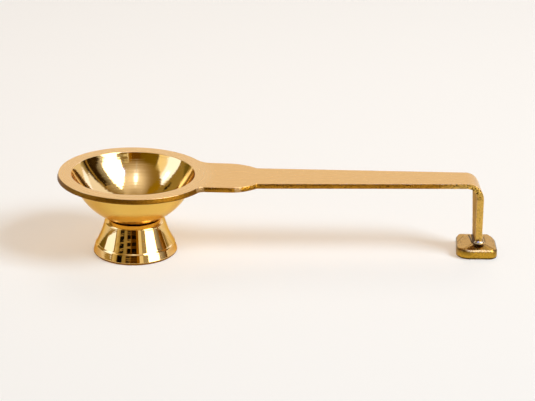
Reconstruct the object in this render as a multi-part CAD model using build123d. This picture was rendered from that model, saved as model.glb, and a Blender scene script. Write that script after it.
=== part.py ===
from build123d import *
import math
import os

# Aarti lamp in brass: a small oil bowl on a turned pedestal, with a flat handle that bends down to a rear foot.
# Millimetres, +Z up, +X along the handle. The origin is on the floor, midway between the lamp's two ends.
# Distances along the handle are from the bowl's axis.

# Plate: the bowl's flat rim and the handle, which fall a little towards the rear foot
rim_radius = 35.0
mouth_radius = 28.4
plate_height = 38.2             # top of the plate over the floor, on the bowl's axis
plate_thickness = 2.3
plate_slope = 1.45              # degrees, rim and shoulder
strip_slope = 0.35              # degrees, past the shoulder

# Handle seen from above: a broad shoulder, an ogee step and a tapering strip
shoulder_root_width = 34.0
shoulder_width = 32.6
shoulder_end = 49.9
strip_start = 56.4
strip_start_width = 21.4
strip_end_width = 15.7          # at the leg's outer face
notch_radii = (3.5, 7.0)        # rim into shoulder, at the front and at the back
shoulder_radius = 18.0          # rounded end of the shoulder
neck_radius = 0.9               # shoulder into strip

# Rear leg: the end of the strip, bent down and narrowed to its foot
leg_reach = 160.0               # to the leg's outer face
leg_thickness = 3.1
leg_foot_width = 13.0
bend_outer_radius = 7.8
bend_inner_radius = 5.0

# Bowl: a rounded bottom and a straight flank up to the mouth
bowl_depth = 23.5               # outside, under the plate's top
bowl_flank = 32.6               # degrees, lean of the flank from upright
bowl_wall = 2.0
boss_radius = 9.0               # flat turned seat under the bowl
boss_drop = 0.4                 # its face under the bowl's bottom
stud_diameter = 6.0
stud_spare = 1.0                # stud past its nut

# Pedestal: hollow turned cone with a recessed top
collar_radius = 12.2            # inner edge of the sloping collar
collar_gap = 0.7                # collar to bowl
collar_edge_radius = 13.9
collar_drop = 1.4
neck_height = 4.5               # steep neck under the collar
waist_radius = 15.1             # where the neck turns into the flare
ledge_height = 5.3              # foot of the flare, where a sloping ledge begins
ledge_radius = 17.75
band_height = 4.15              # foot of the ledge, where a band round the foot begins
band_radius = 18.45
foot_radius = 19.4
foot_upright = 1.0              # height of the upright part of the foot
foot_edge_chamfer = 0.7
foot_land = 2.0                 # width of the ring that it stands on, with its chamfer
pedestal_wall = 1.8             # under the web, measured along the radius
web_thickness = 2.2
hollow_corner_chamfer = 1.5
recess_clearance = 0.15         # round the bowl's boss
stud_clearance = 0.2            # web hole round the stud

# Washer and nut that hold the pedestal on the bowl's stud
washer_diameter = 12.0
washer_thickness = 1.2
nut_flats = 10.0
nut_height = 4.0
thread_clearance = 0.05

# Rear foot pad with a low hipped top
pad_length = 19.1               # along X, at the front
pad_width = 21.4
pad_back_inset = 1.4            # the side towards the bowl runs in by this much at the back
pad_side_height = 4.2
pad_hip_rise = 1.6
pad_shift = 0.95                # pad centre from the leg's middle, towards the bowl
pad_back_shift = 0.5            # and towards the back
pad_corner_radii = (6.0, 3.5, 8.0, 4.5)     # from above, anticlockwise from the front corner towards the bowl
pad_lower_edge_chamfer = 1.2
land_margin = 1.2               # flat land round the leg's foot

# Braze round the leg's foot: a low fillet, and a barrel-shaped bead that ran out in front
fillet_height = 1.3
fillet_lip = 0.9                # foot of the fillet beyond the leg
bead_half_length = 2.4          # along X
bead_end_length = 1.5           # each tapered end
bead_end_radius = 0.3
bead_radius = 1.3
bead_forward = 0.4              # bead centre in front of the leg
bead_rise = 1.4                 # bead centre over the land

# Places that the pieces share
leg_middle = leg_reach - leg_thickness / 2
pad_middle = leg_middle - pad_shift
bowl_x = (rim_radius - pad_middle - pad_length / 2) / 2
pad_top = pad_side_height + pad_hip_rise
fall = math.tan(math.radians(plate_slope))
strip_fall = math.tan(math.radians(strip_slope))
lean = math.radians(bowl_flank)
bowl_inner_depth = bowl_depth - bowl_wall
bowl_inner_radius = (mouth_radius * math.cos(lean) - bowl_inner_depth * math.sin(lean)) / (1 - math.sin(lean))
bowl_radius = bowl_inner_radius + bowl_wall
bowl_centre = plate_height - bowl_depth + bowl_radius
boss_face = bowl_centre - bowl_radius - boss_drop
web_under = boss_face - web_thickness
washer_under = web_under - washer_thickness
nut_under = washer_under - nut_height
beyond = 5.0                    # cutting and trimming bodies reach this far past the casting
past_rim = rim_radius + beyond


def plate_top(x):
    on_strip = max(0, x - shoulder_end)
    return plate_height - fall * (x - on_strip) - strip_fall * on_strip


def bowl_outside(radius):
    return bowl_centre - math.sqrt(bowl_radius**2 - radius**2)


def turned(section):
    return revolve(Plane.XZ * section, Axis.Z)


# The plate as a blank seen from above, with its corners rounded from the strip back to the rim
def blank():
    taper = (strip_start_width - strip_end_width) / (leg_reach - strip_start)
    half = [
        (0, shoulder_root_width / 2),
        (shoulder_end, shoulder_width / 2),
        (strip_start, strip_start_width / 2),
        (leg_reach + beyond, (strip_end_width - taper * beyond) / 2),
    ]
    handle = make_face(Polyline(half + [(x, -y) for x, y in reversed(half)], close=True))
    outline = Circle(rim_radius) + handle
    for group, radius in ((2, neck_radius), (1, shoulder_radius)):
        outline = fillet(outline.vertices().group_by(Axis.X)[group], radius)
    notches = outline.vertices().group_by(Axis.X)[0].sort_by(Axis.Y)
    for notch, radius in zip(notches, notch_radii):
        outline = fillet(outline.vertices().sort_by_distance(notch)[0], radius)
    return extrude(outline, plate_height + past_rim)


# Side view: sloping plate, bend and upright leg
def side_view():
    inside = leg_reach - leg_thickness
    outer_corner = (leg_reach, plate_top(leg_reach))
    inner_corner = (inside, plate_top(inside) - plate_thickness)
    points = [
        (-past_rim, plate_top(-past_rim)),
        (shoulder_end, plate_top(shoulder_end)),
        outer_corner,
        (leg_reach, pad_top),
        (inside, pad_top),
        inner_corner,
        (shoulder_end, plate_top(shoulder_end) - plate_thickness),
        (-past_rim, plate_top(-past_rim) - plate_thickness),
    ]
    view = make_face(Polyline(points, close=True))
    for corner, radius in ((outer_corner, bend_outer_radius), (inner_corner, bend_inner_radius)):
        nearest = view.vertices().sort_by_distance(Vertex(*corner))[0]
        view = fillet(nearest, radius)
    return extrude(Plane.XZ * view, past_rim, both=True)


# View along the handle: it only trims the leg, which narrows from the bend to its foot
def leg_view():
    bend_under = plate_top(leg_reach) - bend_outer_radius
    half = [
        (leg_foot_width / 2, pad_top),
        (strip_end_width / 2, bend_under),
        (past_rim, bend_under),
        (past_rim, plate_height + past_rim),
    ]
    view = make_face(Polyline(half + [(-y, z) for y, z in reversed(half)], close=True))
    return extrude(Plane.YZ * view, leg_reach + past_rim, both=True)


# Half section of the bowl at one of its two surfaces, closed at the given height
def bowl_section(radius, top):
    tangent = (radius * math.cos(lean), bowl_centre - radius * math.sin(lean))
    lip = (tangent[0] + (top - tangent[1]) * math.tan(lean), top)
    bottom = CenterArc((0, bowl_centre), radius, -90, 90 - bowl_flank)
    return make_face([bottom, Polyline(tangent, lip, (0, top), (0, bowl_centre - radius))])


def bowl_and_handle():
    plate = blank() & side_view() & leg_view()
    outside = turned(bowl_section(bowl_radius, plate_height - plate_thickness / 2))
    cavity = turned(bowl_section(bowl_inner_radius, plate_height + past_rim))
    boss_top = bowl_outside(boss_radius) + bowl_wall / 2
    boss = Pos(0, 0, boss_face) * extrude(Circle(boss_radius), boss_top - boss_face)
    stud_end = nut_under - stud_spare
    stud = Pos(0, 0, stud_end) * extrude(Circle(stud_diameter / 2), boss_face - stud_end)
    return plate + outside + boss + stud - cavity


def pedestal():
    collar_top = bowl_outside(collar_radius) - collar_gap
    collar_edge = collar_top - collar_drop
    waist = collar_edge - neck_height
    recess = boss_radius + recess_clearance
    hole = stud_diameter / 2 + stud_clearance
    neck = (waist_radius - collar_edge_radius) / neck_height
    corner = (foot_radius, 0)
    ceiling = (collar_edge_radius + neck * (collar_edge - web_under) - pedestal_wall, web_under)
    skin = Polyline(
        (foot_radius, foot_upright),
        (band_radius, band_height),
        (ledge_radius, ledge_height),
        (waist_radius, waist),
        (collar_edge_radius, collar_edge),
        (collar_radius, collar_top),
        (recess, bowl_outside(recess) - collar_gap),
        (recess, boss_face),
        (hole, boss_face),
        (hole, web_under),
        ceiling,
        (foot_radius - foot_land, 0),
        corner,
        close=True,
    )
    section = make_face(skin)
    for point, length in ((corner, foot_edge_chamfer), (ceiling, hollow_corner_chamfer)):
        section = chamfer(section.vertices().sort_by_distance(Vertex(*point))[0], length)
    return turned(section)


def washer():
    ring = Circle(washer_diameter / 2) - Circle(stud_diameter / 2 + stud_clearance)
    return Pos(0, 0, washer_under) * extrude(ring, washer_thickness)


def nut():
    hexagon = RegularPolygon(nut_flats / 2, 6, major_radius=False)
    ring = hexagon - Circle(stud_diameter / 2 + thread_clearance)
    return Pos(0, 0, nut_under) * extrude(ring, nut_height)


def land():
    return Rectangle(leg_thickness + 2 * land_margin, leg_foot_width + 2 * land_margin)


def rear_foot_pad():
    half_x = pad_length / 2
    half_y = pad_width / 2
    corners = [(-half_x, -half_y), (half_x, -half_y), (half_x, half_y), (pad_back_inset - half_x, half_y)]
    outline = make_face(Polyline(corners, close=True))
    for corner, radius in zip(corners, pad_corner_radii):
        outline = fillet(outline.vertices().sort_by_distance(Vertex(*corner))[0], radius)
    base = extrude(outline, pad_side_height)
    base = chamfer(base.faces().sort_by(Axis.Z)[0].edges(), pad_lower_edge_chamfer)
    hip = loft([Pos(0, 0, pad_side_height) * outline, Pos(pad_shift, -pad_back_shift, pad_top) * land()])
    return Pos(pad_middle, pad_back_shift, 0) * (base + hip)


def foot_braze(casting, pad):
    foot = Rectangle(leg_thickness + 2 * fillet_lip, leg_foot_width + 2 * fillet_lip)
    taper = math.degrees(math.atan2(fillet_lip, fillet_height))
    fillet_ring = Pos(leg_middle, 0, pad_top) * extrude(foot, fillet_height, taper=taper)
    barrel = bead_half_length - bead_end_length
    half = [(-bead_half_length, bead_end_radius), (-barrel, bead_radius), (barrel, bead_radius)]
    half += [(bead_half_length, bead_end_radius), (bead_half_length, 0), (-bead_half_length, 0)]
    bead = revolve(make_face(Polyline(half, close=True)), Axis.X)
    bead = Pos(leg_middle, -leg_foot_width / 2 - bead_forward, pad_top + bead_rise) * bead
    return fillet_ring + bead - casting - pad


casting = bowl_and_handle()
pad = rear_foot_pad()
pieces = {
    "bowl_and_handle": casting,
    "pedestal": pedestal(),
    "pedestal_washer": washer(),
    "pedestal_nut": nut(),
    "rear_foot_pad": pad,
    "foot_braze": foot_braze(casting, pad),
}

os.makedirs("parts", exist_ok=True)
for name, piece in pieces.items():
    export_step(Pos(bowl_x, 0, 0) * piece, f"parts/{name}.step")
    print(name, "volume", round(piece.volume, 1), "mm3")
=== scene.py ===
import math

import bmesh
import bpy
from mathutils import Matrix, Vector, noise


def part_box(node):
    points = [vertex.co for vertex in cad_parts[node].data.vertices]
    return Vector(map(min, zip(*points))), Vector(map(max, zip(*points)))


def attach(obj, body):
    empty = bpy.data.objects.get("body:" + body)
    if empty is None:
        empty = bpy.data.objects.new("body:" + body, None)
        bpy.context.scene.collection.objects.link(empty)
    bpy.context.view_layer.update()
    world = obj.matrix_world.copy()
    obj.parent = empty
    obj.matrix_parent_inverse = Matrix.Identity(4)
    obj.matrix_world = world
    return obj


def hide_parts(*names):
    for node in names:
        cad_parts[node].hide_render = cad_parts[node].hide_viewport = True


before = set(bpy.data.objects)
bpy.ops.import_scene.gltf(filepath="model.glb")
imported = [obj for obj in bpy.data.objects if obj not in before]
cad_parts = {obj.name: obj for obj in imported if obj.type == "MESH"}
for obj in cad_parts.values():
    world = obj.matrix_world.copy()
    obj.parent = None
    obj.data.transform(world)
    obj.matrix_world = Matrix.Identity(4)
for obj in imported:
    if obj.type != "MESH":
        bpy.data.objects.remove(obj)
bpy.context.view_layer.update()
scene = bpy.context.scene
mm = 0.001

# Places that the pieces share, in millimetres from the bowl's axis on the floor
castingLow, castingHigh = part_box("bowl_and_handle")
pedestalLow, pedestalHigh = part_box("pedestal")
padLow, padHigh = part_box("rear_foot_pad")
nutLow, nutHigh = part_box("pedestal_nut")
washerLow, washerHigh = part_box("pedestal_washer")
bowlX = (pedestalLow.x + pedestalHigh.x) / 2
rimRadius = (castingHigh.y - castingLow.y) / 2 / mm
legReach = (castingHigh.x - bowlX) / mm
footRadius = (pedestalHigh.y - pedestalLow.y) / 2 / mm
padTop = padHigh.z / mm
washerTop, nutTop, nutUnder = washerHigh.z / mm, nutHigh.z / mm, nutLow.z / mm
studEnd = castingLow.z / mm
print("frame loaded, bowl axis at x =", round(bowlX, 4), "m")


# sRGB hex to the linear colour that the sockets take
def linear(hexColour):
    parts = [int(hexColour[i:i + 2], 16) / 255 for i in (1, 3, 5)]
    return [c / 12.92 if c <= 0.04045 else ((c + 0.055) / 1.055) ** 2.4 for c in parts] + [1]


# Adds a node, with its settings, and its sockets set or linked
def addNode(tree, kind, sockets=None, **settings):
    node = tree.nodes.new(kind)
    for name, value in settings.items():
        setattr(node, name, value)
    for socket, value in (sockets or {}).items():
        if isinstance(value, bpy.types.NodeSocket):
            tree.links.new(value, node.inputs[socket])
        else:
            node.inputs[socket].default_value = value
    return node


# Empty material and its node tree
def newMaterial(name):
    material = bpy.data.materials.new(name)
    material.use_nodes = True
    material.node_tree.nodes.clear()
    return material, material.node_tree


# A place on the lamp, in millimetres from the bowl's axis
def millimetres(tree):
    place = addNode(tree, "ShaderNodeTexCoord").outputs["Object"]
    fromAxis = addNode(tree, "ShaderNodeVectorMath", {0: place, 1: (bowlX, 0, 0)}, operation="SUBTRACT")
    inMm = addNode(tree, "ShaderNodeVectorMath", {0: fromAxis.outputs[0], "Scale": 1 / mm}, operation="SCALE")
    return inMm.outputs[0]


def axisDistance(tree, place):
    flat = addNode(tree, "ShaderNodeVectorMath", {0: place, 1: (1, 1, 0)}, operation="MULTIPLY")
    return addNode(tree, "ShaderNodeVectorMath", {0: flat.outputs[0]}, operation="LENGTH").outputs["Value"]


# Cloudy pattern of a given size
def speckle(tree, place, sizeMm, detail):
    return addNode(tree, "ShaderNodeTexNoise", {"Vector": place, "Scale": 1 / sizeMm, "Detail": detail}).outputs[0]


# A value spread from one range to another
def spread(tree, value, fromLow, fromHigh, toLow=0, toHigh=1):
    sockets = {0: value, 1: fromLow, 2: fromHigh, 3: toLow, 4: toHigh}
    return addNode(tree, "ShaderNodeMapRange", sockets).outputs[0]


def mixColours(tree, share, first, second):
    return addNode(tree, "ShaderNodeMix", {0: share, 6: first, 7: second}, data_type="RGBA").outputs[2]


def unevenness(tree, height, strength, sizeMm):
    sockets = {"Height": height, "Strength": strength, "Distance": sizeMm * mm}
    return addNode(tree, "ShaderNodeBump", sockets).outputs[0]


# Metal surface on the material's output
def finishMetal(tree, sockets):
    shader = addNode(tree, "ShaderNodeBsdfPrincipled", {"Metallic": 1} | sockets)
    addNode(tree, "ShaderNodeOutputMaterial", {"Surface": shader.outputs[0]})


# Linished cast brass: rubbed on a fine belt, so it is satin with faint lines, along the handle and round the rim
def linishedBrass():
    look = {
        "rim": "#F1CA8C",               # painted light: a little paler than the handle, for how light falls on it
        "handle": "#EFC47F",
        "rimToHandle": (rimRadius - 2, rimRadius + 3),      # where one runs into the other
        "lineMm": 0.35,                 # 180 grit leaves lines of about 0.1 mm, drawn coarser so that they show
        "lineLengthMm": 14,
        "roughness": (0.25, 0.32),
        "bump": 0.015,
    }
    material, tree = newMaterial("linishedBrass")
    place = millimetres(tree)
    radius = axisDistance(tree, place)
    onHandle = spread(tree, radius, *look["rimToHandle"])
    parts = addNode(tree, "ShaderNodeSeparateXYZ", {0: place}).outputs
    angle = addNode(tree, "ShaderNodeMath", {0: parts["Y"], 1: parts["X"]}, operation="ARCTAN2")
    turn = addNode(tree, "ShaderNodeMath", {0: angle.outputs[0], 1: rimRadius}, operation="MULTIPLY")
    along = addNode(tree, "ShaderNodeMix", {0: onHandle, 2: turn.outputs[0], 3: parts["X"]})
    across = addNode(tree, "ShaderNodeMix", {0: onHandle, 2: radius, 3: parts["Y"]})
    belt = addNode(tree, "ShaderNodeCombineXYZ", {"X": along.outputs[0], "Y": across.outputs[0]})
    squeeze = (1 / look["lineLengthMm"], 1 / look["lineMm"], 1)
    stretched = addNode(tree, "ShaderNodeVectorMath", {0: belt.outputs[0], 1: squeeze}, operation="MULTIPLY")
    lines = speckle(tree, stretched.outputs[0], 1, 2)
    finishMetal(tree, {
        "Base Color": mixColours(tree, onHandle, linear(look["rim"]), linear(look["handle"])),
        "Roughness": spread(tree, lines, 0.3, 0.7, *look["roughness"]),
        "Normal": unevenness(tree, lines, look["bump"], look["lineMm"]),
    })
    return material


# Turned and polished brass: a mirror whose fine turning marks make the edges of what it reflects ragged
def polishedBrass(name, colour, deep, roughness, bumpStrength, grazing):
    look = {
        "ringMm": 0.9,                  # turning marks of about 0.15 mm, drawn coarser so that they show
        "patchMm": 9,
    }
    material, tree = newMaterial(name)
    place = millimetres(tree)
    height = addNode(tree, "ShaderNodeSeparateXYZ", {0: place}).outputs["Z"]
    section = addNode(tree, "ShaderNodeCombineXYZ", {"X": axisDistance(tree, place), "Y": height})
    rings = speckle(tree, section.outputs[0], look["ringMm"], 2)
    patches = speckle(tree, place, look["patchMm"], 4)
    finishMetal(tree, {
        "Base Color": mixColours(tree, patches, linear(colour), linear(deep)),
        "Roughness": spread(tree, patches, 0.3, 0.7, roughness * 0.9, roughness * 1.1),
        "Normal": unevenness(tree, rings, bumpStrength, look["ringMm"]),
        "Specular Tint": linear(grazing),           # brass stays yellow until it is seen right along its surface
    })
    return material


# Filed brass: sawn and filed by hand and left so, deeper than the belt's finish, with a fine dark grain, and with dirt
# and painted shade where the mesh says; the leg's end is rubbed brighter by the hand
def filedBrass(name, colour, dark, roughness, grain, rubbed=None, grazing="#FFFFFF"):
    look = {
        "grainMm": 0.5,
        "cloudMm": 3.5,
        "rubbedEnd": (legReach - 22, legReach - 12),        # the rubbed colour sets in between these
    }
    material, tree = newMaterial(name)
    place = millimetres(tree)
    specks = speckle(tree, place, look["grainMm"], 3)
    clouds = speckle(tree, place, look["cloudMm"], 2)
    pitted = spread(tree, specks, 0.5, 0.72)
    worn = spread(tree, clouds, 0.35, 0.7, 0.25, 1)
    grainy = addNode(tree, "ShaderNodeMath", {0: pitted, 1: worn}, operation="MULTIPLY")
    dirtAndShade = addNode(tree, "ShaderNodeAttribute", attribute_name="dirtAndShade").outputs["Fac"]
    # darkest of the grain and of the mesh's darkness: real dirt and stains, and painted shade
    stain = addNode(tree, "ShaderNodeMath", {0: grainy.outputs[0], 1: dirtAndShade}, operation="MAXIMUM")
    along = addNode(tree, "ShaderNodeSeparateXYZ", {0: place}).outputs["X"]
    nearLeg = spread(tree, along, *look["rubbedEnd"])
    clean = mixColours(tree, nearLeg, linear(colour), linear(rubbed or colour))
    finishMetal(tree, {
        "Base Color": mixColours(tree, stain.outputs[0], clean, linear(dark)),
        "Roughness": spread(tree, clouds, 0.3, 0.7, roughness * 0.85, roughness * 1.2),
        "Normal": unevenness(tree, specks, grain, look["grainMm"]),
        "Specular Tint": linear(grazing),
    })
    return material


# Silver solder as it ran: paler and greyer than brass, smooth and bright, with a dull skin in places
def silverBraze():
    look = {"colour": "#CEC2A8", "skin": "#7A6644", "skinMm": 1.6, "roughness": (0.14, 0.3)}
    material, tree = newMaterial("silverBraze")
    darkShare = spread(tree, speckle(tree, millimetres(tree), look["skinMm"], 3), 0.4, 0.7)
    finishMetal(tree, {
        "Base Color": mixColours(tree, darkShare, linear(look["colour"]), linear(look["skin"])),
        "Roughness": spread(tree, darkShare, 0, 1, *look["roughness"]),
    })
    return material


materials = {
    "top": linishedBrass(),
    "inside": polishedBrass("polishedBowlBrass", "#EFCE8E", "#ECC987", 0.08, 0.04, "#FFF4E0"),
    "outside": polishedBrass("buffedBrass", "#E8C062", "#E4BA5A", 0.24, 0.01, "#FFF6DC"),
    "edge": filedBrass("filedEdgeBrass", "#B67F24", "#3A2204", 0.3, 0.25, "#DCB056"),
    # darker and rougher than the filed edges; on the pedestal's foot it is painted shade, the shaded floor that it
    # reflects
    "rimEdge": filedBrass("darkenedEdgeBrass", "#8C5E16", "#2E1A04", 0.42, 0.25),
    # under the handle, as it left the sand: rough and brown, also when seen along the surface
    "cast": filedBrass("castBrass", "#C09A62", "#6E5230", 0.5, 0.3, grazing="#E0C498"),
    "pedestal": polishedBrass("polishedFootBrass", "#EEC886", "#EBC37F", 0.055, 0.02, "#E8C888"),
    "pad": filedBrass("filedPadBrass", "#D2A656", "#2E1C06", 0.22, 0.12),
    "padSide": filedBrass("filedSideBrass", "#C89A34", "#2E1C06", 0.26, 0.12),
    "braze": silverBraze(),
    # braze browned by old flux, and darker still as painted shade in the crevice at the leg's foot
    "fluxAndShade": filedBrass("fluxStainedAndShadedBrass", "#5E3E14", "#2A1804", 0.45, 0.3),
    "fastener": filedBrass("turnedFastenerBrass", "#DDB56E", "#B88C48", 0.28, 0.1),
}
print("materials made:", len(materials))


# Rounds a corner of a drawn section: leaves the first point towards the second and arrives at the third
def roundOff(first, corner, last, steps):
    first, corner, last = Vector(first), Vector(corner), Vector(last)
    ways = [i / steps for i in range(steps + 1)]
    return [first * (1 - t) ** 2 + corner * 2 * t * (1 - t) + last * t * t for t in ways]


# Quads between rows of vertices, in one finish or in one for each column
def skin(bm, rows, closed, slot=0):
    slots = slot if isinstance(slot, list) else [slot] * len(rows[0])
    for low, high in zip(rows, rows[1:]):
        count = len(low)
        for i in range(count if closed else count - 1):
            j = (i + 1) % count
            bm.faces.new((low[i], low[j], high[j], high[i])).material_index = slots[i]


# A row of vertices round the bowl's axis, at a radius and height that may change with the angle
def turnedRow(bm, segments, point):
    row = []
    for i in range(segments):
        angle = 2 * math.pi * i / segments
        radius, height = point(angle)
        row.append(bm.verts.new((radius * math.cos(angle), radius * math.sin(angle), height)))
    return row


# Rows round the bowl's axis for a section drawn as radius and height
def turnedRows(bm, segments, section):
    return [turnedRow(bm, segments, lambda angle, spot=spot: spot) for spot in section]


# Closes a row to one point
def closeRow(bm, row, tip, slot=0):
    tip = bm.verts.new(tip)
    for i, vert in enumerate(row):
        bm.faces.new((vert, row[(i + 1) % len(row)], tip)).material_index = slot


# Turns millimetres from the bowl's axis into the row's frame and makes the piece
def makePiece(name, bm, finishes, nodes):
    bmesh.ops.recalc_face_normals(bm, faces=bm.faces)
    for face in bm.faces:
        face.smooth = True
    bm.transform(Matrix.Translation((bowlX, 0, 0)) @ Matrix.Scale(mm, 4))
    mesh = bpy.data.meshes.new(name)
    bm.to_mesh(mesh)
    bm.free()
    for finish in finishes:
        mesh.materials.append(materials[finish])
    piece = bpy.data.objects.new(name, mesh)
    scene.collection.objects.link(piece)
    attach(piece, "root")
    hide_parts(*nodes)
    print("made", name, "with", len(mesh.polygons), "faces")


# The casting: bowl, flat rim, handle, bend and leg in one piece
casting = {
    "mouthRadius": 28.4,
    "plateThickness": 2.3,
    "plateSlope": 1.45,             # degrees, rim and shoulder
    "stripSlope": 0.35,             # degrees, past the shoulder
    "shoulderRootWidth": 34.0,
    "shoulderWidth": 32.6,
    "shoulderEnd": 49.9,
    "stripStart": 56.4,
    "stripStartWidth": 21.4,
    "stripEndWidth": 15.7,
    "notchRadii": (3.5, 7.0),       # rim into shoulder, at the front and at the back
    "shoulderRadius": 18.0,
    "neckRadius": 0.9,
    "edgeFacet": {                  # the file leant the edge's upper part in: by how much, and down to what depth
        "rim": (0.55, 1.75), "notch": (0.4, 0.95), "strip": (0.4, 0.95), "shoulder": (0.4, 0.95),
        "ogee": (0.4, 0.95), "bend": (0.32, 1.0), "leg": (0.2, 0.9),
    },
    "castShoulder": (46.7, 49.5),   # where the shoulder's edge was left as cast, along the handle
    "edgeRounding": 0.13,
    "legThickness": 3.1,
    "legFootWidth": 13.0,
    "bendOuterRadius": 7.8,
    "bendInnerRadius": 5.0,
    "bendSkew": (0.06, 0.02),       # the leg's back leans to the bowl by this share of its width, at top and foot
    "bowlDepth": 23.5,              # outside
    "bowlFlank": 32.6,              # degrees, lean of the flank outside
    "bowlWall": 2.0,
    "mouthLean": 26.0,              # degrees, lean of the wall inside at the mouth
    "mouthEdge": 0.25,              # rounding of the mouth's edge
    "mouthBorder": 1.2,             # ring of the flat top round the mouth
    "underFillet": 1.0,             # bowl into the plate's underside
    "bossRadius": 9.0,
    "bossDrop": 0.4,
    "bossEdge": 0.3,
    "studRadius": 3.0,
    "studRoot": 0.1,                # rounding where it leaves the boss
    "studTip": (0.7, 0.3),          # chamfer of its free end: across and up
    "threadPitch": 1.0,
    "threadDepth": 0.5,
    "threadInNut": 1.0,             # thread drawn above the nut's underside
    "threadRunOut": 0.2,
    "nickMm": 0.55,                 # dents along the edge
    "nicks": {                      # their depth
        "rim": 0.03, "notch": 0.02, "strip": 0.06, "shoulder": 0.04, "ogee": 0.12, "bend": 0.2, "leg": 0.04,
    },
    # darkness of the deepest dents, dirt and painted shade in them, and painted shade on the rest of the edge
    "dirtAndShade": {"rim": 0.5, "notch": 0, "strip": 1.2, "shoulder": 0, "ogee": 1.5, "bend": 2.0, "leg": 0.6},
    "darkening": {"rim": 0, "notch": 0.5, "strip": 0, "shoulder": 0, "ogee": 0.25, "bend": 0, "leg": 0},
    "fluxAndShadeHeight": 4.0,              # darkened up to here: flux stain, and painted shade at the pad
    "segments": 240,
    "finishes": ("top", "inside", "outside", "edge", "cast", "rimEdge"),
    "edgeFinish": {"rim": "rimEdge", "notch": "cast", "shoulder": "cast"},      # the other parts are filed
}
castingSlot = {finish: i for i, finish in enumerate(casting["finishes"])}
fall = math.tan(math.radians(casting["plateSlope"]))
stripFall = math.tan(math.radians(casting["stripSlope"]))
plateHeight = castingHigh.z / mm - fall * rimRadius
flank = math.radians(casting["bowlFlank"])
innerDepth = casting["bowlDepth"] - casting["bowlWall"]
bowlBottom = (casting["mouthRadius"] * math.cos(flank) - innerDepth * math.sin(flank)) / (1 - math.sin(flank))
bowlBottom += casting["bowlWall"]               # radius of the rounded bottom outside
bottomMiddle = plateHeight - casting["bowlDepth"] + bowlBottom
bossFace = bottomMiddle - bowlBottom - casting["bossDrop"]


def plateTop(x):
    onStrip = max(0, x - casting["shoulderEnd"])
    return plateHeight - fall * (x - onStrip) - stripFall * onStrip


def bowlOutside(radius):
    return bottomMiddle - math.sqrt(bowlBottom ** 2 - radius ** 2)


def leftOf(direction):
    return Vector((-direction.y, direction.x))


# Points and outward directions round one corner of an outline whose outside is on the left
def roundCorner(before, corner, after, radius, steps):
    comes, goes = (corner - before).normalized(), (after - corner).normalized()
    turn = math.atan2(comes.x * goes.y - comes.y * goes.x, comes.dot(goes))
    side = -1 if turn > 0 else 1
    start = corner - comes * radius * math.tan(abs(turn) / 2)
    centre = start - side * radius * leftOf(comes)
    outwards = [leftOf(Matrix.Rotation(turn * i / steps, 2) @ comes) for i in range(steps + 1)]
    return [(centre + side * radius * outward, outward) for outward in outwards]


# One side of the plate's outline, from the rim's free end to the strip
def plateOutline(notchRadius):
    c = casting
    root, shoulder = Vector((0, c["shoulderRootWidth"] / 2)), Vector((c["shoulderEnd"], c["shoulderWidth"] / 2))
    neck, end = Vector((c["stripStart"], c["stripStartWidth"] / 2)), Vector((legReach, c["stripEndWidth"] / 2))
    side = (shoulder - root).normalized()
    # the notch's centre is its radius outside both the rim and the shoulder
    base = root + leftOf(side) * notchRadius
    reach = rimRadius + notchRadius
    ahead = -base.dot(side) + math.sqrt(base.dot(side) ** 2 - base.length_squared + reach ** 2)
    notch = base + side * ahead
    meets = math.atan2(notch.y, notch.x)
    outline = []
    rimSteps, notchSteps = 150, 16
    for i in range(rimSteps):
        angle = math.pi + (meets - math.pi) * i / rimSteps
        outward = Vector((math.cos(angle), math.sin(angle)))
        outline.append((outward * rimRadius, outward, "rim"))
    first, last = meets + math.pi, math.atan2(-leftOf(side).y, -leftOf(side).x) + 2 * math.pi
    for i in range(notchSteps + 1):
        angle = first + (last - first) * i / notchSteps
        inward = Vector((math.cos(angle), math.sin(angle)))
        outline.append((notch + inward * notchRadius, -inward, "notch"))
    steps = 40
    arc = roundCorner(root, shoulder, neck, c["shoulderRadius"], steps)
    first, last = c["castShoulder"]
    for point, outward in arc:
        part = "strip" if point.x < first else "shoulder" if point.x < last else "ogee"
        outline.append((point, outward, part))
    straight = [(arc[-1][0].lerp(neck, t), arc[-1][1], "ogee") for t in (0.25, 0.5, 0.75)]
    corner = roundCorner(shoulder, neck, end, c["neckRadius"], 10)
    straight = [spot for spot in straight if spot[0].x < corner[0][0].x]
    return outline + straight + [(point, outward, "strip") for point, outward in corner]


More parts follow.
